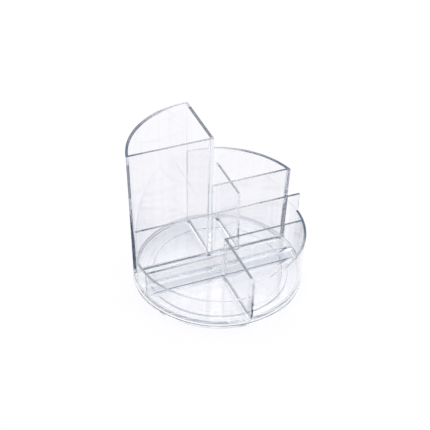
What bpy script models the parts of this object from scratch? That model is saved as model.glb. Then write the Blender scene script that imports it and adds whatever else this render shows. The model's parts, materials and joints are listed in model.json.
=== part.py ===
"""Round stepped desk organiser of clear plastic that turns on a flat round base.

Metres, +Z up. The origin is the middle of the base's underside, and the tray turns about Z.
+X runs along the flat cross walls, to the right of someone facing the low front bays, and +Y
points to the tall back bays.
"""

import math

import bmesh
import bpy
from mathutils import Matrix

MM = 0.001

# Tray, outside form
TRAY_RADIUS = 66.4 * MM
WALL_DRAFT = math.radians(1.86)
FLOOR_THICKNESS = 1.9 * MM

# Sheet thicknesses and the cove moulded at the foot of each wall
RIM_WALL = 2.0 * MM
FLAT_WALL = 2.0 * MM
COVE_RADIUS = 3.4 * MM

# Heights of the walls above the floor's top face
TALL_BAY_HEIGHT = 110.7 * MM
MIDDLE_BAY_HEIGHT = 66.7 * MM
MIDDLE_DIVIDER_HEIGHT = 53.2 * MM
LETTER_WALL_HEIGHT = 53.2 * MM
RIGHT_BAY_HEIGHT = 37.7 * MM
LEFT_BAY_HEIGHT = 22.5 * MM

# Clear widths between the flat walls
LETTER_SLOT_WIDTH = 14.4 * MM
FRONT_SLOT_WIDTH = 12.0 * MM
MIDDLE_BAY_WIDTH = 21.8 * MM

# Base, which the tray turns on; its edge stands out past the tray's floor
BASE_LEDGE = 0.5 * MM
BASE_HEIGHT = 3.0 * MM
BASE_PLATE = 1.4 * MM
BASE_RIM = 2.0 * MM
BASE_CHAMFER = 0.4 * MM
TRACK_INNER_RADIUS = 51.0 * MM
TRACK_WIDTH = 4.8 * MM
HUB_PAD_RADIUS = 9.0 * MM
HUB_PAD_HEIGHT = 0.5 * MM

# Snap pivot: a split spigot on the base, caught by a lipped collar under the tray
SPIGOT_RADIUS = 3.9 * MM
SPIGOT_BORE_RADIUS = 2.2 * MM
SPIGOT_SLOT = 1.0 * MM
SPIGOT_BEAD = 0.6 * MM
SPIGOT_BEAD_BAND = 0.4 * MM
SPIGOT_LEAD_IN = 0.8 * MM
COLLAR_WALL = 1.4 * MM
COLLAR_LIP_HEIGHT = 0.6 * MM

# Clearances
SEAM = 0.3 * MM
RUNNING_GAP = 0.3 * MM

# Fineness of the round shapes
ROUND_STEPS = 120
COVE_STEPS = 6
SHARP_ANGLE = math.radians(25)
MERGE = 0.01 * MM

# Levels
TRAY_UNDERSIDE = BASE_HEIGHT + RUNNING_GAP
FLOOR_TOP = TRAY_UNDERSIDE + FLOOR_THICKNESS
COVE_TOP = FLOOR_TOP + COVE_RADIUS
WALL_FOOT = COVE_TOP + SEAM
HIGHEST = FLOOR_TOP + max(
    TALL_BAY_HEIGHT, MIDDLE_BAY_HEIGHT, LETTER_WALL_HEIGHT, RIGHT_BAY_HEIGHT, LEFT_BAY_HEIGHT
)

# Outer radius of the base
BASE_RADIUS = TRAY_RADIUS + BASE_LEDGE

# Middle planes of the flat walls; the letter wall and the two centre walls lie on the axis
HALF = FLAT_WALL / 2
LETTER_Y = 0.0
CENTRE_X = 0.0
BACK_Y = LETTER_Y + FLAT_WALL + LETTER_SLOT_WIDTH
FRONT_Y = LETTER_Y - FLAT_WALL - FRONT_SLOT_WIDTH
DIVIDER_X = CENTRE_X + FLAT_WALL + MIDDLE_BAY_WIDTH

# How far blanks reach past the outside before they are trimmed to it
OVERSIZE = 3.0 * MM
REACH = TRAY_RADIUS + HIGHEST * math.tan(WALL_DRAFT) + OVERSIZE

CLEAR = {"colour": (0.93, 0.94, 0.97, 1.0), "roughness": 0.04}
CLEAR_BASE = {"colour": (0.90, 0.92, 0.95, 1.0), "roughness": 0.06}


def outside_radius(z):
    """Radius of the tray's drafted outside at a height above the table."""
    return TRAY_RADIUS + (z - FLOOR_TOP) * math.tan(WALL_DRAFT)


def spigot_top():
    """Top of the spigot, whose bead hangs over the collar's lip."""
    bead_foot = BASE_PLATE + HUB_PAD_HEIGHT + RUNNING_GAP + COLLAR_LIP_HEIGHT + RUNNING_GAP
    return bead_foot + SPIGOT_BEAD_BAND + SPIGOT_LEAD_IN


def pivot_pocket_top():
    """Top of the pocket in the floor that takes the spigot's head."""
    return spigot_top() + RUNNING_GAP


def arc(centre, radius, start, end, steps):
    """Points of an arc in a profile, from one angle in degrees to another."""
    angles = [math.radians(start + (end - start) * i / steps) for i in range(steps + 1)]
    return [(centre[0] + radius * math.cos(a), centre[1] + radius * math.sin(a)) for a in angles]


def start_clean():
    for obj in list(bpy.data.objects):
        bpy.data.objects.remove(obj, do_unlink=True)


def new_collection(name):
    collection = bpy.data.collections.new(name)
    bpy.context.scene.collection.children.link(collection)
    return collection


def plastic(name, look):
    """A clear moulded plastic."""
    material = bpy.data.materials.new(name)
    material.use_nodes = True
    shader = material.node_tree.nodes["Principled BSDF"]
    shader.inputs["Base Color"].default_value = look["colour"]
    shader.inputs["Roughness"].default_value = look["roughness"]
    shader.inputs["Metallic"].default_value = 0.0
    shader.inputs["IOR"].default_value = 1.5
    shader.inputs["Transmission Weight"].default_value = 1.0
    return material


def link(obj, collection):
    collection.objects.link(obj)
    return obj


def as_cutter(obj):
    obj.hide_render = True
    obj.display_type = "WIRE"
    return obj


def turned(name, profile, collection, closed):
    """A profile of (radius, height) points, down its outer side, turned about Z."""
    mesh = bpy.data.meshes.new(name)
    edges = [(i, i + 1) for i in range(len(profile) - 1)]
    if closed:
        edges.append((len(profile) - 1, 0))
    mesh.from_pydata([(radius, 0.0, height) for radius, height in profile], edges, [])
    obj = link(bpy.data.objects.new(name, mesh), collection)
    screw = obj.modifiers.new("Turn", "SCREW")
    screw.angle = math.tau
    screw.steps = ROUND_STEPS
    screw.render_steps = ROUND_STEPS
    screw.use_merge_vertices = True
    screw.merge_threshold = MERGE
    return obj


def block(name, low, high, collection):
    """A box between two corners, with its scale applied."""
    bpy.ops.mesh.primitive_cube_add(size=1.0)
    obj = bpy.context.object
    obj.name = name
    obj.data.name = name
    size = [high[i] - low[i] for i in range(3)]
    middle = [(high[i] + low[i]) / 2 for i in range(3)]
    obj.data.transform(Matrix.Translation(middle) @ Matrix.Diagonal((*size, 1.0)))
    for other in list(obj.users_collection):
        other.objects.unlink(obj)
    return link(obj, collection)


def extruded(name, outline, length, turn, collection):
    """A flat outline, extruded both ways from its plane, as a mesh."""
    curve = bpy.data.curves.new(name, "CURVE")
    curve.dimensions = "2D"
    curve.fill_mode = "BOTH"
    curve.extrude = length / 2
    spline = curve.splines.new("POLY")
    spline.points.add(len(outline) - 1)
    for point, (across, up) in zip(spline.points, outline):
        point.co = (across, up, 0.0, 1.0)
    spline.use_cyclic_u = True
    shape = link(bpy.data.objects.new(name, curve), bpy.context.scene.collection)
    bpy.context.view_layer.update()
    evaluated = shape.evaluated_get(bpy.context.evaluated_depsgraph_get())
    mesh = bpy.data.meshes.new_from_object(evaluated)
    weld(mesh)
    mesh.transform(turn)
    bpy.data.objects.remove(shape)
    mesh.name = name
    return link(bpy.data.objects.new(name, mesh), collection)


def weld(mesh):
    work = bmesh.new()
    work.from_mesh(mesh)
    bmesh.ops.remove_doubles(work, verts=work.verts, dist=MERGE)
    bmesh.ops.recalc_face_normals(work, faces=work.faces)
    work.to_mesh(mesh)
    work.free()


def boolean(obj, operation, tools):
    for tool in tools:
        modifier = obj.modifiers.new(operation.title() + " " + tool.name, "BOOLEAN")
        modifier.operation = operation
        modifier.solver = "EXACT"
        modifier.object = tool


def trimmed_to(obj, envelope):
    boolean(obj, "INTERSECT", [envelope])
    return obj


ALONG_X = Matrix(((0, 0, 1, 0), (1, 0, 0, 0), (0, 1, 0, 0), (0, 0, 0, 1)))
ALONG_Y = Matrix(((-1, 0, 0, 0), (0, 0, 1, 0), (0, 1, 0, 0), (0, 0, 0, 1)))
STANDING = Matrix(((1, 0, 0, 0), (0, 0, -1, 0), (0, 1, 0, 0), (0, 0, 0, 1)))


def outside_envelope(cutters):
    """The solid inside the tray's drafted outside, which trims everything that reaches it."""
    profile = [(0.0, HIGHEST), (outside_radius(HIGHEST), HIGHEST), (outside_radius(0.0), 0.0), (0.0, 0.0)]
    return as_cutter(turned("outside_envelope", profile, cutters, closed=False))


def inside_envelope(cutters):
    """The solid inside the rim walls, less the seam, for dividers that stop at a rim wall."""
    inset = RIM_WALL + SEAM
    profile = [
        (0.0, HIGHEST),
        (outside_radius(HIGHEST) - inset, HIGHEST),
        (outside_radius(0.0) - inset, 0.0),
        (0.0, 0.0),
    ]
    return as_cutter(turned("inside_envelope", profile, cutters, closed=False))


def cove_rail(name, cutters, start, end, along_x, across):
    """The foot that a flat wall stands on: as wide as the wall at its top, flaring into the floor."""
    root = (pivot_pocket_top() + FLOOR_TOP) / 2
    right = arc((HALF + COVE_RADIUS, COVE_TOP), COVE_RADIUS, 180, 270, COVE_STEPS)
    foot = [(HALF + COVE_RADIUS, root), (-HALF - COVE_RADIUS, root)]
    left = [(-x, z) for x, z in reversed(right)]
    middle = (start + end) / 2
    if along_x:
        turn = Matrix.Translation((middle, across, 0.0)) @ ALONG_X
    else:
        turn = Matrix.Translation((across, middle, 0.0)) @ ALONG_Y
    return as_cutter(extruded(name, right + foot + left, end - start, turn, cutters))


def tray_floor_profile():
    """Floor, raised rim foot with its cove, and the pivot collar underneath."""
    inside = outside_radius(COVE_TOP) - RIM_WALL
    cove = arc((inside - COVE_RADIUS, COVE_TOP), COVE_RADIUS, 270, 360, COVE_STEPS)
    blank_radius = outside_radius(COVE_TOP) + OVERSIZE
    lip_radius = SPIGOT_RADIUS + RUNNING_GAP
    pocket_radius = SPIGOT_RADIUS + SPIGOT_BEAD + RUNNING_GAP
    collar_foot = BASE_PLATE + HUB_PAD_HEIGHT + RUNNING_GAP
    collar_radius = pocket_radius + COLLAR_WALL
    lip_top = collar_foot + COLLAR_LIP_HEIGHT
    return [
        (0.0, FLOOR_TOP),
        *cove,
        (blank_radius, COVE_TOP),
        (blank_radius, TRAY_UNDERSIDE),
        (collar_radius, TRAY_UNDERSIDE),
        (collar_radius, collar_foot),
        (lip_radius, collar_foot),
        (lip_radius, lip_top),
        (pocket_radius, lip_top),
        (pocket_radius, pivot_pocket_top()),
        (0.0, pivot_pocket_top()),
    ]


def tray_floor(parts, cutters, outside):
    """The round floor with a coved foot for every wall; the letter slot stays open at both ends."""
    floor = turned("tray_floor", tray_floor_profile(), parts, closed=False)
    slot_end = block(
        "letter_slot_ends",
        (-REACH, LETTER_Y + HALF, FLOOR_TOP),
        (REACH, BACK_Y - HALF, COVE_TOP + OVERSIZE),
        cutters,
    )
    boolean(floor, "DIFFERENCE", [as_cutter(slot_end)])
    boolean(
        floor,
        "UNION",
        [
            cove_rail("back_wall_foot", cutters, -REACH, REACH, True, BACK_Y),
            cove_rail("letter_wall_foot", cutters, -REACH, REACH, True, LETTER_Y),
            cove_rail("front_wall_foot", cutters, -TRAY_RADIUS, TRAY_RADIUS, True, FRONT_Y),
            cove_rail("side_wall_foot", cutters, BACK_Y, TRAY_RADIUS, False, CENTRE_X),
            cove_rail("divider_foot", cutters, BACK_Y, TRAY_RADIUS, False, DIVIDER_X),
            cove_rail("front_divider_foot", cutters, -TRAY_RADIUS, FRONT_Y, False, CENTRE_X),
        ],
    )
    return trimmed_to(floor, outside)


def rim_wall(name, height, low, high, parts, cutters):
    """A stretch of the round drafted wall, kept between two corners in plan."""
    top = FLOOR_TOP + height
    profile = [
        (outside_radius(top), top),
        (outside_radius(WALL_FOOT), WALL_FOOT),
        (outside_radius(WALL_FOOT) - RIM_WALL, WALL_FOOT),
        (outside_radius(top) - RIM_WALL, top),
    ]
    wall = turned(name, profile, parts, closed=True)
    keep = block(name + "_sector", (*low, 0.0), (*high, HIGHEST + OVERSIZE), cutters)
    return trimmed_to(wall, as_cutter(keep))


def rim_walls(parts, cutters):
    """The four stretches of round wall; each ends at the flat walls that it meets."""
    right = CENTRE_X + HALF + SEAM
    left = CENTRE_X - HALF - SEAM
    behind = BACK_Y + HALF + SEAM
    before = LETTER_Y - HALF - SEAM
    return [
        rim_wall("tall_bay_rim", TALL_BAY_HEIGHT, (-REACH, behind), (left, REACH), parts, cutters),
        rim_wall("middle_bay_rim", MIDDLE_BAY_HEIGHT, (right, behind), (REACH, REACH), parts, cutters),
        rim_wall("right_bay_rim", RIGHT_BAY_HEIGHT, (right, -REACH), (REACH, before), parts, cutters),
        rim_wall("left_bay_rim", LEFT_BAY_HEIGHT, (-REACH, -REACH), (left, before), parts, cutters),
    ]


def flat_wall(name, low, high, height, parts, envelope):
    """A flat wall between two corners in plan, standing on its foot."""
    wall = block(name, (*low, WALL_FOOT), (*high, FLOOR_TOP + height), parts)
    return trimmed_to(wall, envelope)


def tall_bay_walls(parts, outside):
    """Front and side of the tall bay at the back left."""
    front = flat_wall(
        "tall_bay_front",
        (-REACH, BACK_Y - HALF),
        (CENTRE_X + HALF, BACK_Y + HALF),
        TALL_BAY_HEIGHT,
        parts,
        outside,
    )
    side = flat_wall(
        "tall_bay_side",
        (CENTRE_X - HALF, BACK_Y + HALF + SEAM),
        (CENTRE_X + HALF, REACH),
        TALL_BAY_HEIGHT,
        parts,
        outside,
    )
    return [front, side]


def middle_bay_walls(parts, outside, inside):
    """Front of the two middle bays at the back right, and the divider between them."""
    front = flat_wall(
        "middle_bay_front",
        (CENTRE_X + HALF + SEAM, BACK_Y - HALF),
        (REACH, BACK_Y + HALF),
        MIDDLE_BAY_HEIGHT,
        parts,
        outside,
    )
    divider = flat_wall(
        "middle_bay_divider",
        (DIVIDER_X - HALF, BACK_Y + HALF + SEAM),
        (DIVIDER_X + HALF, REACH),
        MIDDLE_DIVIDER_HEIGHT,
        parts,
        inside,
    )
    return [front, divider]


def letter_wall(parts, outside):
    """The full-width wall on the axis, with the open letter slot behind it."""
    low = (-REACH, LETTER_Y - HALF)
    high = (REACH, LETTER_Y + HALF)
    return flat_wall("letter_wall", low, high, LETTER_WALL_HEIGHT, parts, outside)


def front_wall(parts, inside):
    """The stepped cross wall in front of the narrow slot, lower in front of the left bay."""
    step = CENTRE_X - HALF
    left_top = FLOOR_TOP + LEFT_BAY_HEIGHT
    right_top = FLOOR_TOP + RIGHT_BAY_HEIGHT
    outline = [
        (-REACH, WALL_FOOT),
        (REACH, WALL_FOOT),
        (REACH, right_top),
        (step, right_top),
        (step, left_top),
        (-REACH, left_top),
    ]
    turn = Matrix.Translation((0.0, FRONT_Y, 0.0)) @ STANDING
    return trimmed_to(extruded("front_stepped_wall", outline, FLAT_WALL, turn, parts), inside)


def front_divider(parts, outside):
    """The divider between the two front bays, out to the rim."""
    low = (CENTRE_X - HALF, -REACH)
    high = (CENTRE_X + HALF, FRONT_Y - HALF - SEAM)
    return flat_wall("front_bay_divider", low, high, RIGHT_BAY_HEIGHT, parts, outside)


def base_profile():
    """Plate with a rim, a raised track that the tray runs on, and the spigot at the middle."""
    track_outer = TRACK_INNER_RADIUS + TRACK_WIDTH
    pad_top = BASE_PLATE + HUB_PAD_HEIGHT
    top = spigot_top()
    bead_radius = SPIGOT_RADIUS + SPIGOT_BEAD
    bead_foot = top - SPIGOT_LEAD_IN - SPIGOT_BEAD_BAND
    return [
        (0.0, pad_top),
        (SPIGOT_BORE_RADIUS, pad_top),
        (SPIGOT_BORE_RADIUS, top),
        (SPIGOT_RADIUS, top),
        (bead_radius, top - SPIGOT_LEAD_IN),
        (bead_radius, bead_foot),
        (SPIGOT_RADIUS, bead_foot),
        (SPIGOT_RADIUS, pad_top),
        (HUB_PAD_RADIUS, pad_top),
        (HUB_PAD_RADIUS, BASE_PLATE),
        (TRACK_INNER_RADIUS, BASE_PLATE),
        (TRACK_INNER_RADIUS, BASE_HEIGHT),
        (track_outer, BASE_HEIGHT),
        (track_outer, BASE_PLATE),
        (BASE_RADIUS - BASE_RIM, BASE_PLATE),
        (BASE_RADIUS - BASE_RIM, BASE_HEIGHT),
        (BASE_RADIUS, BASE_HEIGHT),
        (BASE_RADIUS, BASE_CHAMFER),
        (BASE_RADIUS - BASE_CHAMFER, 0.0),
        (0.0, 0.0),
    ]


def turntable_base(parts, cutters):
    """The round base; crossed slots split its spigot so that it can snap into the collar."""
    base = turned("turntable_base", base_profile(), parts, closed=False)
    half = SPIGOT_SLOT / 2
    reach = SPIGOT_RADIUS + SPIGOT_BEAD + RUNNING_GAP
    foot = BASE_PLATE + HUB_PAD_HEIGHT
    head = spigot_top() + OVERSIZE
    slots = [
        block("spigot_slot_x", (-reach, -half, foot), (reach, half, head), cutters),
        block("spigot_slot_y", (-half, -reach, foot), (half, reach, head), cutters),
    ]
    boolean(base, "DIFFERENCE", [as_cutter(slot) for slot in slots])
    return base


def shade(obj):
    """Smooth over the round faces, sharp at the real edges."""
    bpy.context.view_layer.update()
    evaluated = obj.evaluated_get(bpy.context.evaluated_depsgraph_get())
    mesh = bpy.data.meshes.new_from_object(evaluated)
    obj.modifiers.clear()
    mesh.name = obj.name
    mesh.shade_smooth()
    mesh.set_sharp_from_angle(angle=SHARP_ANGLE)
    obj.data = mesh


def build():
    start_clean()
    parts = new_collection("desk_organiser")
    cutters = new_collection("cutters")
    clear = plastic("clear_tray", CLEAR)
    clear_base = plastic("clear_base", CLEAR_BASE)
    outside = outside_envelope(cutters)
    inside = inside_envelope(cutters)

    tray = [tray_floor(parts, cutters, outside)]
    tray += rim_walls(parts, cutters)
    tray += tall_bay_walls(parts, outside)
    tray += middle_bay_walls(parts, outside, inside)
    tray += [letter_wall(parts, outside), front_wall(parts, inside), front_divider(parts, outside)]
    base = turntable_base(parts, cutters)

    turn_axis = link(bpy.data.objects.new("tray_turn_axis", None), parts)
    for piece in tray:
        shade(piece)
        piece.data.materials.append(clear)
        piece.parent = turn_axis
    shade(base)
    base.data.materials.append(clear_base)


build()
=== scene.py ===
"""Looks of the round stepped desk organiser: crystal clear moulded plastic on a white studio floor."""
import json
import math

import bmesh
import bpy
from mathutils import Matrix, Vector

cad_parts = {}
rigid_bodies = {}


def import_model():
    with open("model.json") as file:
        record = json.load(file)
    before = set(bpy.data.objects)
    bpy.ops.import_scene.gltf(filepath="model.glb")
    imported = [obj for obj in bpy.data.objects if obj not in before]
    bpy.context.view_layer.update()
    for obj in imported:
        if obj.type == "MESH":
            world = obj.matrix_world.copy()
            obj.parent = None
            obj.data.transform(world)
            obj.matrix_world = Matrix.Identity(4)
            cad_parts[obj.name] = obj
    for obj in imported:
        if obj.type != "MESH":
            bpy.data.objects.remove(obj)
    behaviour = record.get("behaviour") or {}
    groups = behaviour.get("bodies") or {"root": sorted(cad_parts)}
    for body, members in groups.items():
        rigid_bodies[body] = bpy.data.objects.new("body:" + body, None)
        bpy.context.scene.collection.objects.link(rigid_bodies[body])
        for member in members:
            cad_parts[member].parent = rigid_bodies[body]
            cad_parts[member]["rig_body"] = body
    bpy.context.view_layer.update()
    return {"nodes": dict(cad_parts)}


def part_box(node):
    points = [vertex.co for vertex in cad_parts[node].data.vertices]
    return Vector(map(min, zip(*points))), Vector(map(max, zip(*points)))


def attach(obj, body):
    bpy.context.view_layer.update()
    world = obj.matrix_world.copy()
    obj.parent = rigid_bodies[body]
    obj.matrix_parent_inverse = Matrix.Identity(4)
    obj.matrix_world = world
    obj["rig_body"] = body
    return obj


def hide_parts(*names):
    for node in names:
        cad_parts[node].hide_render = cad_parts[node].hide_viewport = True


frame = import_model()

MM = 0.001

# Camera, solved from the corners and arcs of the photograph; image and frame offsets in pixels
IMAGE = 430
FOCAL_LENGTH = 1087.79
AIM = Vector((0.0, 0.0, 45.2 * MM))
DISTANCE = 836.79 * MM
AZIMUTH = math.radians(-23.994)
ELEVATION = math.radians(38.585)
ROLL = math.radians(2.0185)
FRAME_RIGHT = 3.70
FRAME_DOWN = 10.97
SENSOR = 36.0
CLIP_NEAR = 0.01
CLIP_FAR = 50.0

# Studio: the direction of its bright side, from +X towards +Y, and the white ground
BRIGHT_SIDE = math.radians(50)
DIM_HALF = (0.06, 0.08, 0.11)
WHITE = (1.0, 1.0, 1.0)
GROUND_SIZE = 6.0
GROUND_CELLS = 8
GROUND_DROP = 0.3 * MM
GROUND_SHADE = (0.1, 0.1, 0.1)
GROUND_GLOW = (0.98, 0.975, 1.0)
GROUND_STRENGTH = 0.95

# Part of its source's range over which a colour ramp changes
RAMP_FROM = 0.35
RAMP_TO = 0.65

# Times that light may go through or off a surface
BOUNCES = 64

# Sizes of the tray that no box of a node gives
TRAY_RADIUS = 66.4 * MM
WALL_DRAFT = math.radians(1.86)
RIM_WALL = 2.0 * MM
FLOOR_TOP = 5.2 * MM
FLOOR_UNDERSIDE = 3.3 * MM
COVE_RADIUS = 3.4 * MM
COLLAR_RADIUS = 6.2 * MM
COLLAR_FOOT = 2.2 * MM
COLLAR_LIP_RADIUS = 4.2 * MM
COLLAR_LIP_TOP = 2.8 * MM
POCKET_RADIUS = 4.8 * MM
POCKET_TOP = 4.6 * MM

# Sizes of the base that no box of a node gives
BASE_RADIUS = 66.9 * MM
BASE_HEIGHT = 3.0 * MM
BASE_PLATE = 1.4 * MM
BASE_RIM = 2.0 * MM
TRACK_INNER_RADIUS = 51.0 * MM
TRACK_OUTER_RADIUS = 55.8 * MM
PAD_RADIUS = 9.0 * MM
PAD_TOP = 1.9 * MM
SPIGOT_BORE_RADIUS = 2.2 * MM
SPIGOT_RADIUS = 3.9 * MM
SPIGOT_TOP = 4.3 * MM
BEAD_RADIUS = 4.5 * MM
BEAD_TOP = 3.5 * MM
BEAD_FOOT = 3.1 * MM
SPIGOT_SLOT = 1.0 * MM

# Softening of the edges, and the skin that keeps the round wall inside the frame's box
FILLET = 0.4 * MM
TOP_FILLET = 0.9 * MM
TRAY_FOOT_FILLET = 1.6 * MM
BASE_TOP_FILLET = 1.3 * MM
BASE_FOOT_FILLET = 1.0 * MM
TRACK_FILLET = 0.75 * MM
SKIN = 0.02 * MM

# Share of the coves' radius that rounds the bays' upright corners
UPRIGHT_SHARE = 0.6

# Fineness and allowances of the modelling
ROUND_STEPS = 240
COVE_STEPS = 10
FILLET_STEPS = 8
TOP_STEPS = 5
FACE_WEIGHT = 100
SHARP_ANGLE = math.radians(28)
MERGE = 0.01 * MM
OVERSIZE = 4.0 * MM


def top_of(node):
    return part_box(node)[1].z


# Faces and tops of the walls, from the frame
LETTER_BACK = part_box("letter_wall")[1].y
LETTER_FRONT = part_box("letter_wall")[0].y
BACK_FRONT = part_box("tall_bay_front")[0].y
BACK_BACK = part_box("tall_bay_front")[1].y
FRONT_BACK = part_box("front_stepped_wall")[1].y
FRONT_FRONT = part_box("front_stepped_wall")[0].y
SIDE_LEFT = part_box("tall_bay_side")[0].x
SIDE_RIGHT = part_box("tall_bay_side")[1].x
DIVIDER_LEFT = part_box("middle_bay_divider")[0].x
DIVIDER_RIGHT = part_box("middle_bay_divider")[1].x
DIVIDER_MIDDLE = (DIVIDER_LEFT + DIVIDER_RIGHT) / 2
TALL_TOP = top_of("tall_bay_side")
MIDDLE_TOP = top_of("middle_bay_front")
DIVIDER_TOP = top_of("middle_bay_divider")
LETTER_TOP = top_of("letter_wall")
RIGHT_TOP = top_of("right_bay_rim")
LEFT_TOP = top_of("left_bay_rim")
SKY = TALL_TOP + OVERSIZE
REACH = TRAY_RADIUS + SKY * math.tan(WALL_DRAFT) + OVERSIZE


def outside_radius(z):
    """Radius of the tray's drafted outside at a height above the table."""
    return TRAY_RADIUS - SKIN + (z - FLOOR_TOP) * math.tan(WALL_DRAFT)


def link(obj):
    bpy.context.scene.collection.objects.link(obj)
    return obj


def turned(name, profile):
    """A profile of (radius, height) points, down its outer side, turned about Z."""
    mesh = bpy.data.meshes.new(name)
    edges = [(i, i + 1) for i in range(len(profile) - 1)]
    mesh.from_pydata([(radius, 0.0, height) for radius, height in profile], edges, [])
    obj = link(bpy.data.objects.new(name, mesh))
    screw = obj.modifiers.new("Turn", "SCREW")
    screw.angle = math.tau
    screw.steps = ROUND_STEPS
    screw.render_steps = ROUND_STEPS
    screw.use_merge_vertices = True
    screw.merge_threshold = MERGE
    return bake(obj)


def block(name, low, high):
    """A box between two corners, with its scale applied."""
    bpy.ops.mesh.primitive_cube_add(size=1.0)
    obj = bpy.context.object
    obj.name = name
    size = [high[i] - low[i] for i in range(3)]
    middle = [(high[i] + low[i]) / 2 for i in range(3)]
    obj.data.transform(Matrix.Translation(middle) @ Matrix.Diagonal((*size, 1.0)))
    return obj


def bake(obj):
    """The object's modifiers, made part of its mesh."""
    bpy.context.view_layer.update()
    evaluated = obj.evaluated_get(bpy.context.evaluated_depsgraph_get())
    mesh = bpy.data.meshes.new_from_object(evaluated)
    obj.modifiers.clear()
    obj.data = mesh
    return obj


def cut(obj, operation, tools):
    """A Boolean with each tool in turn; the tools are used up."""
    for tool in tools:
        modifier = obj.modifiers.new(operation.title(), "BOOLEAN")
        modifier.operation = operation
        modifier.solver = "MANIFOLD"
        modifier.object = tool
    bake(obj)
    for tool in tools:
        bpy.data.objects.remove(tool)
    return obj


def arc(centre, radius, start, end, steps):
    """Points of an arc in a profile, from one angle in degrees to another."""
    angles = [math.radians(start + (end - start) * i / steps) for i in range(steps + 1)]
    return [(centre[0] + radius * math.cos(a), centre[1] + radius * math.sin(a)) for a in angles]


def softened(corners):
    """Profile points from (radius, height, fillet) corners, each with a fillet rounded off."""
    points = []
    for i, (x, z, fillet) in enumerate(corners):
        here = Vector((x, z))
        if not fillet:
            points.append(tuple(here))
            continue
        start = here + (Vector(corners[i - 1][:2]) - here).normalized() * fillet
        end = here + (Vector(corners[i + 1][:2]) - here).normalized() * fillet
        for step in range(FILLET_STEPS + 1):
            share = step / FILLET_STEPS
            left = 1 - share
            points.append(tuple(start * left ** 2 + here * 2 * share * left + end * share ** 2))
    return points


def inner_cone():
    """The drafted space inside the round wall, rounded where it meets the floor."""
    cove_top = FLOOR_TOP + COVE_RADIUS
    inside = outside_radius(cove_top) - RIM_WALL
    cove = arc((inside - COVE_RADIUS, cove_top), COVE_RADIUS, 0, -90, COVE_STEPS)
    crown = SKY + OVERSIZE
    profile = [(0.0, crown), (outside_radius(crown) - RIM_WALL, crown), *cove, (0.0, FLOOR_TOP)]
    return turned("inner_cone", profile)


def footed_wall(name, across, front, back, top):
    """A wall along Y with a cove on each side of its foot, reaching below the floor."""
    half = (DIVIDER_RIGHT - DIVIDER_LEFT) / 2
    root = FLOOR_TOP - OVERSIZE
    right = arc((half + COVE_RADIUS, FLOOR_TOP + COVE_RADIUS), COVE_RADIUS, 180, 270, COVE_STEPS)
    side = [(half, top), *right, (half + COVE_RADIUS, root)]
    outline = side + [(-x, z) for x, z in reversed(side)]
    curve = bpy.data.curves.new(name, "CURVE")
    curve.dimensions = "2D"
    curve.fill_mode = "BOTH"
    curve.extrude = (back - front) / 2
    spline = curve.splines.new("POLY")
    spline.points.add(len(outline) - 1)
    for point, (x, z) in zip(spline.points, outline):
        point.co = (x, z, 0.0, 1.0)
    spline.use_cyclic_u = True
    shape = link(bpy.data.objects.new(name, curve))
    bpy.context.view_layer.update()
    evaluated = shape.evaluated_get(bpy.context.evaluated_depsgraph_get())
    mesh = bpy.data.meshes.new_from_object(evaluated)
    bpy.data.objects.remove(shape)
    work = bmesh.new()
    work.from_mesh(mesh)
    bmesh.ops.remove_doubles(work, verts=work.verts, dist=MERGE)
    bmesh.ops.recalc_face_normals(work, faces=work.faces)
    work.to_mesh(mesh)
    work.free()
    place = Matrix.Translation((across, (front + back) / 2, 0.0))
    mesh.transform(place @ Matrix.Rotation(math.pi / 2, 4, "X"))
    return link(bpy.data.objects.new(name, mesh))


def cavity(name, left, front, right, back, inside=True):
    """The space in one bay, rounded at its bottom and less so in its upright corners."""
    space = block(name, (left, front, FLOOR_TOP), (right, back, SKY))
    work = bmesh.new()
    work.from_mesh(space.data)
    weight = work.edges.layers.float.new("bevel_weight_edge")
    for edge in work.edges:
        low_ends = sum(vert.co.z < SKY / 2 for vert in edge.verts)
        edge[weight] = (0.0, UPRIGHT_SHARE, 1.0)[low_ends]
    work.to_mesh(space.data)
    work.free()
    bevel = space.modifiers.new("Cove", "BEVEL")
    bevel.limit_method = "WEIGHT"
    bevel.width = COVE_RADIUS
    bevel.segments = COVE_STEPS
    bake(space)
    if inside:
        cut(space, "INTERSECT", [inner_cone()])
    return space


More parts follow.
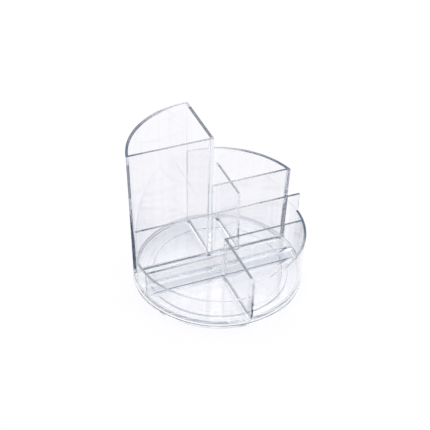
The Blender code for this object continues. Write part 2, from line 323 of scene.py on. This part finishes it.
def clear_tray():
    """The tray as one clear moulding: a drafted drum, cut down in steps and hollowed bay by bay."""
    corners = [
        (0.0, TALL_TOP, 0.0),
        (outside_radius(TALL_TOP), TALL_TOP, 0.0),
        (outside_radius(FLOOR_UNDERSIDE), FLOOR_UNDERSIDE, TRAY_FOOT_FILLET),
        (COLLAR_RADIUS, FLOOR_UNDERSIDE, 0.0),
        (COLLAR_RADIUS, COLLAR_FOOT, 0.0),
        (COLLAR_LIP_RADIUS, COLLAR_FOOT, 0.0),
        (COLLAR_LIP_RADIUS, COLLAR_LIP_TOP, 0.0),
        (POCKET_RADIUS, COLLAR_LIP_TOP, 0.0),
        (POCKET_RADIUS, POCKET_TOP, 0.0),
        (0.0, POCKET_TOP, 0.0),
    ]
    tray = turned("clear_tray", softened(corners))
    slot_middle = (LETTER_BACK + BACK_FRONT) / 2
    steps = [
        block("above_letter_wall", (-REACH, -REACH, LETTER_TOP), (REACH, slot_middle, SKY)),
        block("above_middle_bays", (SIDE_RIGHT, -REACH, MIDDLE_TOP), (REACH, REACH, SKY)),
        block("above_front", (-REACH, -REACH, RIGHT_TOP), (REACH, LETTER_FRONT, SKY)),
        block("above_left_bay", (-REACH, -REACH, LEFT_TOP), (SIDE_LEFT, LETTER_FRONT, SKY)),
    ]
    cut(tray, "DIFFERENCE", steps)
    divider = footed_wall("middle_bay_divider", DIVIDER_MIDDLE, BACK_FRONT, REACH, DIVIDER_TOP)
    middle_bays = cut(cavity("middle_bays", SIDE_RIGHT, BACK_BACK, REACH, REACH), "DIFFERENCE", [divider])
    bays = [
        cavity("tall_bay", -REACH, BACK_BACK, SIDE_LEFT, REACH),
        middle_bays,
        cavity("letter_slot", -REACH, LETTER_BACK, REACH, BACK_FRONT, inside=False),
        cavity("front_slot", -REACH, FRONT_BACK, REACH, LETTER_FRONT),
        cavity("right_bay", SIDE_RIGHT, -REACH, REACH, FRONT_FRONT),
        cavity("left_bay", -REACH, -REACH, SIDE_LEFT, FRONT_FRONT),
    ]
    cut(tray, "DIFFERENCE", bays)
    round_tops(tray)
    return finished(tray)


def round_tops(tray):
    """Softens the edges along the tops of the walls."""
    tops = {TALL_TOP, MIDDLE_TOP, DIVIDER_TOP, LETTER_TOP, RIGHT_TOP, LEFT_TOP}
    work = bmesh.new()
    work.from_mesh(tray.data)
    weight = work.edges.layers.float.new("bevel_weight_edge")
    for edge in work.edges:
        level = any(all(abs(vert.co.z - top) < MERGE for vert in edge.verts) for top in tops)
        edge[weight] = float(level and edge.calc_face_angle(0.0) > SHARP_ANGLE)
    work.to_mesh(tray.data)
    work.free()
    bevel = tray.modifiers.new("Tops", "BEVEL")
    bevel.limit_method = "WEIGHT"
    bevel.width = TOP_FILLET
    bevel.segments = TOP_STEPS
    bevel.use_clamp_overlap = False
    bake(tray)


def clear_base():
    """The round base with its rim, the raised track, the hub pad and the split spigot."""
    corners = [
        (0.0, PAD_TOP, 0.0),
        (SPIGOT_BORE_RADIUS, PAD_TOP, 0.0),
        (SPIGOT_BORE_RADIUS, SPIGOT_TOP, 0.0),
        (SPIGOT_RADIUS, SPIGOT_TOP, 0.0),
        (BEAD_RADIUS, BEAD_TOP, 0.0),
        (BEAD_RADIUS, BEAD_FOOT, 0.0),
        (SPIGOT_RADIUS, BEAD_FOOT, 0.0),
        (SPIGOT_RADIUS, PAD_TOP, 0.0),
        (PAD_RADIUS, PAD_TOP, FILLET / 2),
        (PAD_RADIUS, BASE_PLATE, 0.0),
        (TRACK_INNER_RADIUS, BASE_PLATE, FILLET),
        (TRACK_INNER_RADIUS, BASE_HEIGHT, TRACK_FILLET),
        (TRACK_OUTER_RADIUS, BASE_HEIGHT, TRACK_FILLET),
        (TRACK_OUTER_RADIUS, BASE_PLATE, FILLET),
        (BASE_RADIUS - BASE_RIM, BASE_PLATE, FILLET),
        (BASE_RADIUS - BASE_RIM, BASE_HEIGHT, FILLET),
        (BASE_RADIUS, BASE_HEIGHT, BASE_TOP_FILLET),
        (BASE_RADIUS, 0.0, BASE_FOOT_FILLET),
        (0.0, 0.0, 0.0),
    ]
    base = turned("clear_base", softened(corners))
    half = SPIGOT_SLOT / 2
    reach = BEAD_RADIUS + half
    slots = [
        block("spigot_slot_x", (-reach, -half, PAD_TOP), (reach, half, SPIGOT_TOP + half)),
        block("spigot_slot_y", (-half, -reach, PAD_TOP), (half, reach, SPIGOT_TOP + half)),
    ]
    cut(base, "DIFFERENCE", slots)
    return finished(base)


def finished(obj):
    """Smooth over the round faces, sharp at the edges, with the flat faces' normals kept flat."""
    obj.data.shade_smooth()
    obj.data.set_sharp_from_angle(angle=SHARP_ANGLE)
    normals = obj.modifiers.new("Normals", "WEIGHTED_NORMAL")
    normals.keep_sharp = True
    normals.weight = FACE_WEIGHT
    return obj


def ranged(tree, source, span, first, last):
    """The source value, mapped from the span's ends onto first to last, and held at both ends."""
    node = tree.nodes.new("ShaderNodeMapRange")
    node.inputs["From Min"].default_value = span[0]
    node.inputs["From Max"].default_value = span[1]
    node.inputs["To Min"].default_value = first
    node.inputs["To Max"].default_value = last
    tree.links.new(source, node.inputs["Value"])
    return node.outputs["Result"]


def rising(tree, source, span, most=1.0):
    """Nought before the span, and the most after it."""
    return ranged(tree, source, span, 0.0, most)


def falling(tree, source, span, most=1.0):
    """The most before the span, and nought after it."""
    return ranged(tree, source, span, most, 0.0)


def math_node(tree, operation, first, second=None):
    """One value or two, put through a Math node."""
    node = tree.nodes.new("ShaderNodeMath")
    node.operation = operation
    tree.links.new(first, node.inputs[0])
    if second is not None:
        tree.links.new(second, node.inputs[1])
    return node.outputs["Value"]


def product(tree, *factors):
    """All the factors multiplied together."""
    result = factors[0]
    for factor in factors[1:]:
        result = math_node(tree, "MULTIPLY", result, factor)
    return result


def largest(tree, *values):
    """The largest of the values."""
    result = values[0]
    for value in values[1:]:
        result = math_node(tree, "MAXIMUM", result, value)
    return result


def vector_node(tree, operation, first, second=None):
    """A Vector Math node on one vector and, where it needs one, a second vector or a fixed one."""
    node = tree.nodes.new("ShaderNodeVectorMath")
    node.operation = operation
    tree.links.new(first, node.inputs[0])
    if isinstance(second, tuple):
        node.inputs[1].default_value = second
    elif second is not None:
        tree.links.new(second, node.inputs[1])
    return node.outputs


def parts(tree, source):
    """A vector's X, Y and Z."""
    split = tree.nodes.new("ShaderNodeSeparateXYZ")
    tree.links.new(source, split.inputs["Vector"])
    return split.outputs


def blended(tree, share, first, second):
    """A colour mixed by a share from a linked colour towards a fixed one."""
    mix = tree.nodes.new("ShaderNodeMix")
    mix.data_type = "RGBA"
    tree.links.new(share, mix.inputs["Factor"])
    tree.links.new(first, mix.inputs["A"])
    mix.inputs["B"].default_value = (*second, 1.0)
    return mix.outputs["Result"]


def ramped(tree, source, first, last):
    """A colour that goes from the first to the last over the middle part of the source's range."""
    ramp = tree.nodes.new("ShaderNodeValToRGB")
    for element, position, colour in zip(ramp.color_ramp.elements, (RAMP_FROM, RAMP_TO), (first, last)):
        element.position = position
        element.color = (*colour, 1.0)
    tree.links.new(source, ramp.inputs["Fac"])
    return ramp.outputs["Color"]


def noise(tree, place, scale, detail):
    """A noise pattern, as a value."""
    node = tree.nodes.new("ShaderNodeTexNoise")
    node.inputs["Scale"].default_value = scale
    node.inputs["Detail"].default_value = detail
    tree.links.new(place, node.inputs["Vector"])
    return node.outputs["Fac"]


def mm(start, end):
    """A span between two places, from millimetres."""
    return start * MM, end * MM


# The spans of the painted shading, over which a painted dark line or a painted shade comes in or goes
# out.
# Direction of the surface: the size of one part of its normal, nought to one
FACES_SIDEWAYS = (0.08, 0.35)
FACES_UPWARD = (0.15, 0.4)
NEARLY_LEVEL = (0.82, 0.98)
LEVEL = (0.98, 0.99)
UPRIGHT = (0.15, 0.3)
STEEP = (0.1, 0.18)
NO_LONGER_STEEP = (0.35, 0.45)
FACES_ALONG_BOTH = (0.1, 0.25)
FACES_OUTWARD = (0.9, 0.97)

# Heights of the coves and of the walls above them
COVES_FROM = mm(5.0, 5.5)
COVES_TO = mm(12.0, 12.5)
FLOOR_FROM = mm(5.0, 5.1)
FLOOR_TO = mm(5.5, 6.0)
WALLS_FROM = mm(8.0, 9.0)
RIGHT_RIM_FROM = mm(9.0, 10.0)

# Painted dark lines on the walls' tops
LOW_TOPS_TO = (RIGHT_TOP + MM / 2, RIGHT_TOP + MM)
TALL_TOPS_FROM = mm(80.0, 90.0)
UNDER_TALL_TOP = (TALL_TOP - 1.3 * MM, TALL_TOP - 0.8 * MM)
UNDER_MIDDLE_TOP = (MIDDLE_TOP - MM, MIDDLE_TOP - MM / 2)
UNDER_MIDDLE_TOP_X = mm(15.0, 45.0)
TOP_ENDS_X = mm(30.0, 62.0)
RIGHT_HALF_X = mm(-2.0, -1.0)
BACK_WALLS_Y = mm(17.7, 18.5)
ROUND_TOP_RADIUS = mm(62.5, 64.0)
ROUND_TOP_RIGHT_X = mm(25.0, 58.0)
ROUND_TOP_LEFT_X = mm(-58.0, -42.0)
ROUND_TOP_BACK_X = mm(10.0, 45.0)
ROUND_TOP_BACK_Y = mm(0.0, 10.0)

# Painted shades and painted dark lines at the walls' feet
ROUND_FOOT_RADIUS = mm(59.0, 61.0)
OFF_LETTER_WALL_Y = mm(5.0, 6.0)
SLOTS_TO_Y = mm(14.0, 15.0)
BACK_BAND_Y = mm(15.0, 20.0)

# Shades on the floors
FRONT_SLOT_FROM_Y = mm(-13.0, -9.0)
FRONT_SLOT_TO_Y = mm(-3.0, 0.0)
LETTER_SLOT_FROM_Y = mm(0.0, 3.0)
LETTER_SLOT_TO_Y = mm(14.0, 15.0)
RIGHT_BAY_X = mm(0.0, 1.0)
RIGHT_BAY_Y = mm(-50.0, -15.0)
RIGHT_BAY_TO_Y = mm(-15.0, -14.0)
TALL_BAY_X = mm(-1.0, 0.0)
TALL_BAY_Y = mm(20.0, 55.0)

# Shade on the right bay's round wall
RIGHT_RIM_X = mm(40.0, 52.0)
RIGHT_RIM_RADIUS = mm(60.0, 61.0)
RIGHT_RIM_TO_Y = mm(14.0, 15.0)

# Painted dark lines and shade on the edges of the base's track
TRACK_FROM = mm(1.5, 1.7)
TRACK_TO = mm(3.05, 3.1)
TRACK_INNER = mm(20.0, 21.0)
TRACK_OUTER = mm(58.0, 58.5)

# Painted dark lines in the upright outer corners
CORNER_FADE = mm(40.0, 75.0)
CORNER_SIDE_X = mm(20.0, 50.0)
CORNER_FRONT_Y = mm(-50.0, -40.0)
CORNER_RADIUS = mm(45.0, 50.0)

# Painted dark strips at the outer ends of the flat fronts, on the round wall and on the fronts' faces
END_FADE = mm(45.0, 78.0)
END_FROM_Y = mm(15.0, 15.3)
END_TO_Y = mm(17.0, 18.5)
END_RADIUS = mm(62.0, 63.0)
LEFT_END_X = mm(-30.0, -20.0)
LEFT_END_HEIGHTS = mm(35.0, 72.0)
LEFT_END_WIDTHS = mm(3.0, -0.2)
RIGHT_END_X = mm(20.0, 30.0)
RIGHT_END_HEIGHTS = mm(38.0, 44.0)
RIGHT_END_WIDTHS = mm(3.9, 0.3)
END_EDGE = mm(-0.3, 0.1)

# Painted dark mottled lines of the front divider's outer end and of the middle divider
SPECKLE_SCALE = 420.0
SPECKLE_DETAIL = 1.0
SPECKLE = (0.42, 0.5)
DIVIDER_END_X = mm(0.7, 1.2)
DIVIDER_END_Y = mm(-60.0, -58.0)
DIVIDER_END_FROM = mm(5.0, 7.0)
DIVIDER_END_FADE = (LEFT_TOP - 6.0 * MM, LEFT_TOP)
DIVIDER_LINE_FROM_X = (DIVIDER_MIDDLE - MM, DIVIDER_MIDDLE - MM / 2)
DIVIDER_LINE_TO_X = (DIVIDER_MIDDLE + MM / 2, DIVIDER_MIDDLE + MM)
DIVIDER_LINE_FADE = mm(28.0, 32.0)
DIVIDER_LINE_TO = (DIVIDER_TOP - MM, DIVIDER_TOP)
FRONT_FACE_FROM_Y = (BACK_FRONT - MM / 2, BACK_FRONT - MM / 4)
FRONT_FACE_TO_Y = (BACK_FRONT + MM / 4, BACK_FRONT + MM / 2)


def measured(tree, coords):
    """What the shading goes by: a point's place on the object, and which way its surface faces."""
    place = coords.outputs["Object"]
    normal = coords.outputs["Normal"]
    signed = parts(tree, place)
    unsigned = parts(tree, vector_node(tree, "ABSOLUTE", place)["Vector"])
    facing = parts(tree, vector_node(tree, "ABSOLUTE", normal)["Vector"])
    plan = vector_node(tree, "MULTIPLY", place, (1.0, 1.0, 0.0))["Vector"]
    away = vector_node(tree, "NORMALIZE", plan)["Vector"]
    outward = vector_node(tree, "DOT_PRODUCT", normal, away)["Value"]
    return {
        "place": place,
        "x": signed["X"],
        "y": signed["Y"],
        "side": unsigned["X"],
        "off_axis": unsigned["Y"],
        "height": unsigned["Z"],
        "radius": vector_node(tree, "LENGTH", plan)["Value"],
        "facing_x": facing["X"],
        "facing_y": facing["Y"],
        "facing_z": facing["Z"],
        "facing_out": math_node(tree, "ABSOLUTE", outward),
    }


def sloping(tree, at):
    """Surfaces that face partly upward or downward."""
    upward = rising(tree, at["facing_z"], FACES_UPWARD)
    return product(tree, upward, falling(tree, at["facing_z"], NEARLY_LEVEL))


def upright(tree, at):
    """Surfaces that stand upright."""
    return falling(tree, at["facing_z"], UPRIGHT)


def round_top_share(tree, at, look):
    """How strong the painted dark lines on the tops are: full on flat walls, and less on parts of the
    round wall.
    """
    right = ranged(tree, at["x"], ROUND_TOP_RIGHT_X, look["rim_front"], 1.0)
    left = ranged(tree, at["x"], ROUND_TOP_LEFT_X, look["rim_left"], look["rim_front"])
    back = product(
        tree,
        ranged(tree, at["side"], ROUND_TOP_BACK_X, look["rim_back"], 1.0),
        rising(tree, at["y"], ROUND_TOP_BACK_Y),
    )
    return largest(tree, falling(tree, at["radius"], ROUND_TOP_RADIUS), right, left, back)


def top_lines(tree, at, look):
    """Painted dark lines on the walls' tops, and just under the tops of the tall and the middle bay."""
    sideways = rising(tree, at["facing_x"], FACES_SIDEWAYS)
    ends = ranged(tree, at["side"], TOP_ENDS_X, look["straight"], 1.0)
    low_right = product(
        tree,
        falling(tree, at["height"], LOW_TOPS_TO, look["low_right"]),
        rising(tree, at["x"], RIGHT_HALF_X),
    )
    crosswise = product(
        tree,
        rising(tree, at["off_axis"], BACK_WALLS_Y),
        ranged(tree, at["height"], TALL_TOPS_FROM, look["crosswise"], look["crosswise_tall"]),
    )
    share = round_top_share(tree, at, look)
    tops = product(
        tree,
        rising(tree, at["height"], COVES_TO),
        rising(tree, at["facing_z"], FACES_UPWARD),
        largest(tree, sideways, ends, low_right, crosswise),
        share,
    )
    under_middle = product(
        tree,
        rising(tree, at["height"], UNDER_MIDDLE_TOP),
        rising(tree, at["x"], UNDER_MIDDLE_TOP_X),
    )
    under = largest(tree, rising(tree, at["height"], UNDER_TALL_TOP), under_middle)
    return largest(tree, tops, product(tree, under, sideways, share))


def cove_heights(tree, at):
    """The heights that the coves are at."""
    return product(tree, rising(tree, at["height"], COVES_FROM), falling(tree, at["height"], COVES_TO))


def coves(tree, at, look):
    """The coves at the walls' feet, as a mask for painted shade and painted dark lines, weaker at the
    round wall and at the letter wall.
    """
    return product(
        tree,
        cove_heights(tree, at),
        ranged(tree, at["radius"], ROUND_FOOT_RADIUS, 1.0, look["rim_foot"]),
        ranged(tree, at["off_axis"], OFF_LETTER_WALL_Y, look["letter_foot"], 1.0),
    )


def foot_lines(tree, at, look):
    """Thin painted dark lines where the coves run up into the walls."""
    return product(
        tree,
        coves(tree, at, look),
        rising(tree, at["facing_z"], STEEP, look["foot_line"]),
        falling(tree, at["facing_z"], NO_LONGER_STEEP),
    )


def foot_shades(tree, at, look):
    """Shade in the coves, strongest in the slots, and a band at the foot of the round wall's back."""
    flat = product(
        tree,
        coves(tree, at, look),
        ranged(tree, at["off_axis"], SLOTS_TO_Y, 1.0, look["bay_foot"]),
    )
    band = product(
        tree,
        cove_heights(tree, at),
        rising(tree, at["radius"], ROUND_FOOT_RADIUS, look["back_band"]),
        rising(tree, at["y"], BACK_BAND_Y),
    )
    return product(tree, sloping(tree, at), largest(tree, flat, band))


def floor_shades(tree, at, look):
    """Shade on the floors of the two slots, the right bay and the back of the tall bay."""
    on_floor = product(
        tree,
        rising(tree, at["facing_z"], LEVEL),
        rising(tree, at["height"], FLOOR_FROM),
        falling(tree, at["height"], FLOOR_TO),
    )
    front_slot = product(
        tree,
        rising(tree, at["y"], FRONT_SLOT_FROM_Y, look["front_slot"]),
        falling(tree, at["y"], FRONT_SLOT_TO_Y),
    )
    letter_slot = product(
        tree,
        rising(tree, at["y"], LETTER_SLOT_FROM_Y, look["letter_slot"]),
        falling(tree, at["y"], LETTER_SLOT_TO_Y),
    )
    right_bay = product(
        tree,
        rising(tree, at["x"], RIGHT_BAY_X, look["right_bay"]),
        rising(tree, at["y"], RIGHT_BAY_Y),
        falling(tree, at["y"], RIGHT_BAY_TO_Y),
    )
    tall_bay = product(
        tree,
        falling(tree, at["x"], TALL_BAY_X, look["tall_bay"]),
        rising(tree, at["y"], TALL_BAY_Y),
    )
    return product(tree, on_floor, largest(tree, front_slot, letter_slot, right_bay, tall_bay))


def right_rim_shade(tree, at, look):
    """Shade on the round wall of the right bay."""
    return product(
        tree,
        rising(tree, at["x"], RIGHT_RIM_X, look["right_rim"]),
        rising(tree, at["radius"], RIGHT_RIM_RADIUS),
        rising(tree, at["height"], RIGHT_RIM_FROM),
        falling(tree, at["y"], RIGHT_RIM_TO_Y),
        upright(tree, at),
    )


def track_edges(tree, at, look):
    """Painted dark lines and painted shade on the sloping edges of the base's track."""
    return product(
        tree,
        sloping(tree, at),
        rising(tree, at["height"], TRACK_FROM, look["rings"]),
        falling(tree, at["height"], TRACK_TO),
        falling(tree, at["radius"], TRACK_OUTER),
        rising(tree, at["radius"], TRACK_INNER),
    )


def corner_lines(tree, at, look):
    """Painted dark lines in the upright corners that are near the outside, weaker towards their tops."""
    side = ranged(tree, at["side"], CORNER_SIDE_X, look["corner_middle"], 1.0)
    return product(
        tree,
        falling(tree, at["facing_out"], FACES_OUTWARD),
        rising(tree, at["facing_x"], FACES_ALONG_BOTH),
        rising(tree, at["facing_y"], FACES_ALONG_BOTH),
        upright(tree, at),
        ranged(tree, at["height"], CORNER_FADE, 1.0, look["corner_top"]),
        largest(tree, side, falling(tree, at["y"], CORNER_FRONT_Y)),
        rising(tree, at["radius"], CORNER_RADIUS, look["corner"]),
    )


def front_face(tree, at):
    """The front faces of the tall and the middle bay's fronts."""
    return product(
        tree,
        falling(tree, at["y"], FRONT_FACE_TO_Y),
        rising(tree, at["y"], FRONT_FACE_FROM_Y),
        rising(tree, at["height"], WALLS_FROM),
        upright(tree, at),
    )


def end_strip(tree, at, heights, widths):
    """A painted dark strip inside the drafted outside, whose width changes over the heights."""
    radii = [outside_radius(height) for height in (FLOOR_TOP, TALL_TOP)]
    outside = ranged(tree, at["height"], (FLOOR_TOP, TALL_TOP), *radii)
    inset = math_node(tree, "SUBTRACT", outside, at["radius"])
    width = ranged(tree, at["height"], heights, *widths)
    return falling(tree, math_node(tree, "SUBTRACT", inset, width), END_EDGE)


def end_lines(tree, at, look):
    """Painted dark strips at the outer ends of the flat fronts: on the round wall, and on the fronts' own
    faces.
    """
    on_round_wall = product(
        tree,
        ranged(tree, at["height"], END_FADE, 1.0, look["end_top"]),
        rising(tree, at["height"], WALLS_FROM),
        rising(tree, at["y"], END_FROM_Y),
        falling(tree, at["y"], END_TO_Y),
        rising(tree, at["facing_out"], FACES_OUTWARD),
        rising(tree, at["radius"], END_RADIUS),
        upright(tree, at),
    )
    left = product(
        tree,
        end_strip(tree, at, LEFT_END_HEIGHTS, LEFT_END_WIDTHS),
        falling(tree, at["x"], LEFT_END_X, look["left_end"]),
    )
    right = product(
        tree,
        end_strip(tree, at, RIGHT_END_HEIGHTS, RIGHT_END_WIDTHS),
        rising(tree, at["x"], RIGHT_END_X, look["right_end"]),
    )
    on_faces = product(tree, largest(tree, left, right), front_face(tree, at))
    return largest(tree, on_round_wall, on_faces)


def divider_lines(tree, at, look):
    """Painted dark mottled lines: the front divider's outer end, and the middle divider's line on its
    bay's front.
    """
    speckle = noise(tree, at["place"], SPECKLE_SCALE, SPECKLE_DETAIL)
    mottled = ranged(tree, speckle, SPECKLE, look["speckle"], 1.0)
    front_end = product(
        tree,
        falling(tree, at["side"], DIVIDER_END_X),
        falling(tree, at["y"], DIVIDER_END_Y),
        rising(tree, at["height"], DIVIDER_END_FROM),
        ranged(tree, at["height"], DIVIDER_END_FADE, 1.0, look["divider_end_top"]),
        mottled,
        upright(tree, at),
    )
    middle = product(
        tree,
        rising(tree, at["x"], DIVIDER_LINE_FROM_X, look["divider_line"]),
        falling(tree, at["x"], DIVIDER_LINE_TO_X),
        ranged(tree, at["height"], DIVIDER_LINE_FADE, 1.0, look["divider_line_top"]),
        falling(tree, at["height"], DIVIDER_LINE_TO),
        front_face(tree, at),
        mottled,
    )
    return largest(tree, front_end, middle)


def shaded(tree, coords, colour, look):
    """The colour with painted dark lines on edges and wall tops, and lighter painted shades on feet and
    floors.

    The lines and shades go by place and direction on the object alone. They stand in for those that
    the photograph's light gives.
    """
    at = measured(tree, coords)
    # Masks of the painted dark lines, and of the lighter painted shades under them
    dark = (top_lines, foot_lines, corner_lines, end_lines, divider_lines, track_edges)
    light = (foot_shades, floor_shades, right_rim_shade, track_edges)
    lines = largest(tree, *[part(tree, at, look) for part in dark])
    shades = largest(tree, *[part(tree, at, look) for part in light])
    return blended(tree, lines, blended(tree, shades, colour, look["foot"]), look["edge"])


def plastic(name, look):
    """Polished clear plastic with faint flow marks, and with a slate tint in its depth."""
    material = bpy.data.materials.new(name)
    material.use_nodes = True
    tree = material.node_tree
    shader = tree.nodes["Principled BSDF"]
    shader.inputs["IOR"].default_value = look["ior"]
    shader.inputs["Transmission Weight"].default_value = 1.0

    coords = tree.nodes.new("ShaderNodeTexCoord")
    flow = tree.nodes.new("ShaderNodeMapping")
    flow.inputs["Scale"].default_value = look["flow"]
    tree.links.new(coords.outputs["Object"], flow.inputs["Vector"])
    streaks = noise(tree, flow.outputs["Vector"], look["streak"], look["streak_detail"])
    swirls = noise(tree, coords.outputs["Object"], look["swirl"], look["swirl_detail"])

    colour = ramped(tree, streaks, look["deep"], look["clear"])
    # The base colour carries the painted dark lines and painted shades
    tree.links.new(shaded(tree, coords, colour, look), shader.inputs["Base Color"])
    haze = rising(tree, swirls, look["haze_from"], look["haze"])
    tree.links.new(haze, shader.inputs["Roughness"])

    wave = tree.nodes.new("ShaderNodeBump")
    wave.inputs["Strength"].default_value = 1.0
    wave.inputs["Distance"].default_value = look["wave"]
    tree.links.new(swirls, wave.inputs["Height"])
    tree.links.new(wave.outputs["Normal"], shader.inputs["Normal"])

    depth = tree.nodes.new("ShaderNodeVolumeAbsorption")
    depth.inputs["Color"].default_value = (*look["depth"], 1.0)
    depth.inputs["Density"].default_value = look["density"]
    tree.links.new(depth.outputs["Volume"], tree.nodes["Material Output"].inputs["Volume"])
    return material


def camera():
    data = bpy.data.cameras.new("camera")
    data.sensor_width = SENSOR
    data.lens = FOCAL_LENGTH / IMAGE * SENSOR
    data.shift_x = -FRAME_RIGHT / IMAGE
    data.shift_y = FRAME_DOWN / IMAGE
    data.clip_start = CLIP_NEAR
    data.clip_end = CLIP_FAR
    obj = link(bpy.data.objects.new("camera", data))
    level = math.cos(ELEVATION)
    back = Vector((math.sin(AZIMUTH) * level, -math.cos(AZIMUTH) * level, math.sin(ELEVATION)))
    turn = (-back).to_track_quat("-Z", "Y").to_matrix().to_4x4()
    obj.matrix_world = Matrix.Translation(AIM + back * DISTANCE) @ turn @ Matrix.Rotation(ROLL, 4, "Z")
    bpy.context.scene.camera = obj


def seen_directly(tree):
    """One for camera, transmission and glossy rays, nought for all other light."""
    path = tree.nodes.new("ShaderNodeLightPath")
    rays = ("Is Camera Ray", "Is Transmission Ray", "Is Glossy Ray")
    return largest(tree, *[path.outputs[ray] for ray in rays])


def studio_world():
    """White where it is seen directly; the light it sheds is bright from behind, dim from in front."""
    world = bpy.data.worlds.new("studio")
    bpy.context.scene.world = world
    world.use_nodes = True
    tree = world.node_tree
    coords = tree.nodes.new("ShaderNodeTexCoord")
    bright = (math.cos(BRIGHT_SIDE), math.sin(BRIGHT_SIDE), 0.0)
    side = vector_node(tree, "DOT_PRODUCT", coords.outputs["Generated"], bright)["Value"]
    halves = ramped(tree, ranged(tree, side, (-1.0, 1.0), 0.0, 1.0), DIM_HALF, WHITE)
    colour = blended(tree, seen_directly(tree), halves, WHITE)
    tree.links.new(colour, tree.nodes["Background"].inputs["Color"])


def softbox(name, place, width, height, watts):
    """A soft rectangular lamp, pointed at the object."""
    data = bpy.data.lights.new(name, "AREA")
    data.shape = "RECTANGLE"
    data.size = width
    data.size_y = height
    data.energy = watts
    obj = link(bpy.data.objects.new(name, data))
    turn = (AIM - Vector(place)).to_track_quat("-Z", "Y").to_matrix().to_4x4()
    obj.matrix_world = Matrix.Translation(place) @ turn


def studio_floor():
    """White ground that glows evenly, about as bright as the world, and takes a little shadow."""
    cells = {"x_subdivisions": GROUND_CELLS, "y_subdivisions": GROUND_CELLS}
    bpy.ops.mesh.primitive_grid_add(size=GROUND_SIZE, **cells)
    floor = bpy.context.object
    floor.name = "studio_floor"
    floor.location.z = -GROUND_DROP
    material = bpy.data.materials.new("studio_floor")
    material.use_nodes = True
    tree = material.node_tree
    tree.nodes.remove(tree.nodes["Principled BSDF"])
    diffuse = tree.nodes.new("ShaderNodeBsdfDiffuse")
    diffuse.inputs["Color"].default_value = (*GROUND_SHADE, 1.0)
    glow = tree.nodes.new("ShaderNodeEmission")
    glow.inputs["Color"].default_value = (*GROUND_GLOW, 1.0)
    glow.inputs["Strength"].default_value = GROUND_STRENGTH
    surface = tree.nodes.new("ShaderNodeAddShader")
    tree.links.new(diffuse.outputs[0], surface.inputs[0])
    tree.links.new(glow.outputs[0], surface.inputs[1])
    tree.links.new(surface.outputs[0], tree.nodes["Material Output"].inputs["Surface"])
    floor.data.materials.append(material)


TRAY_LOOK = {
    # The plastic: colours between and in its flow marks, tint and density of its depth
    "ior": 1.5,
    "clear": (0.978, 0.976, 0.983),
    "deep": (0.95, 0.951, 0.964),
    "depth": (0.0, 0.14, 0.3),
    "density": 2.0,
    # Its marks: stretched streaks of colour, and swirls in shine and surface
    "flow": (240.0, 240.0, 9.0),
    "streak": 1.0,
    "streak_detail": 4.0,
    "swirl": 70.0,
    "swirl_detail": 2.0,
    "haze": 0.012,
    "haze_from": (0.4, 0.8),
    "wave": 0.01 * MM,
    # Colours of the painted dark lines and of the lighter painted shades
    "edge": (0.005, 0.016, 0.045),
    "foot": (0.4, 0.45, 0.53),
    # Strength of the painted dark lines on the tops of the walls, nought to one
    "straight": 0.55,
    "low_right": 0.9,
    "crosswise": 0.75,
    "crosswise_tall": 0.94,
    "rim_front": 0.22,
    "rim_left": 0.78,
    "rim_back": 0.27,
    # Strength of the painted dark lines at feet, corners, ends and dividers
    "foot_line": 0.9,
    "corner": 0.8,
    "corner_middle": 0.3,
    "corner_top": 0.25,
    "left_end": 0.98,
    "right_end": 0.833,
    "end_top": 0.2,
    "divider_end_top": 0.25,
    "divider_line": 0.9,
    "divider_line_top": 0.3,
    "speckle": 0.3,
    # Strength of the shades at feet, on floors and on the right rim
    "letter_foot": 0.7,
    "rim_foot": 0.2,
    "bay_foot": 0.4,
    "back_band": 0.8,
    "front_slot": 0.75,
    "letter_slot": 0.3,
    "right_bay": 0.4,
    "tall_bay": 0.75,
    "right_rim": 0.14,
    # Strength of the painted dark lines and shade on the track's edges, which only the base has
    "rings": 0.0,
}
BASE_LOOK = {
    **TRAY_LOOK,
    "clear": (0.99, 1.0, 1.0),
    "deep": (0.985, 0.99, 0.995),
    "flow": (60.0, 60.0, 60.0),
    # Painted dark lines and shade on the track's edges
    "rings": 0.7,
}


def dress(obj, material):
    """Gives a piece its one material."""
    obj.data.materials.clear()
    obj.data.materials.append(material)


camera()
studio_world()
studio_floor()
softbox("back_softbox", place=(0.55, 1.25, 1.1), width=1.2, height=0.8, watts=2.8)
softbox("top_softbox", place=(0.0, 0.0, 1.5), width=1.6, height=1.6, watts=8.0)

tray = clear_tray()
dress(tray, plastic("clear_tray_plastic", TRAY_LOOK))
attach(tray, "tray")
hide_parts(*[name for name, node in frame["nodes"].items() if node["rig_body"] == "tray"])

base = clear_base()
dress(base, plastic("clear_base_plastic", BASE_LOOK))
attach(base, "base")
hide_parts("turntable_base")

cycles = bpy.context.scene.cycles
cycles.max_bounces = BOUNCES
cycles.transmission_bounces = BOUNCES
cycles.glossy_bounces = BOUNCES
bpy.context.scene.view_settings.view_transform = "Standard"
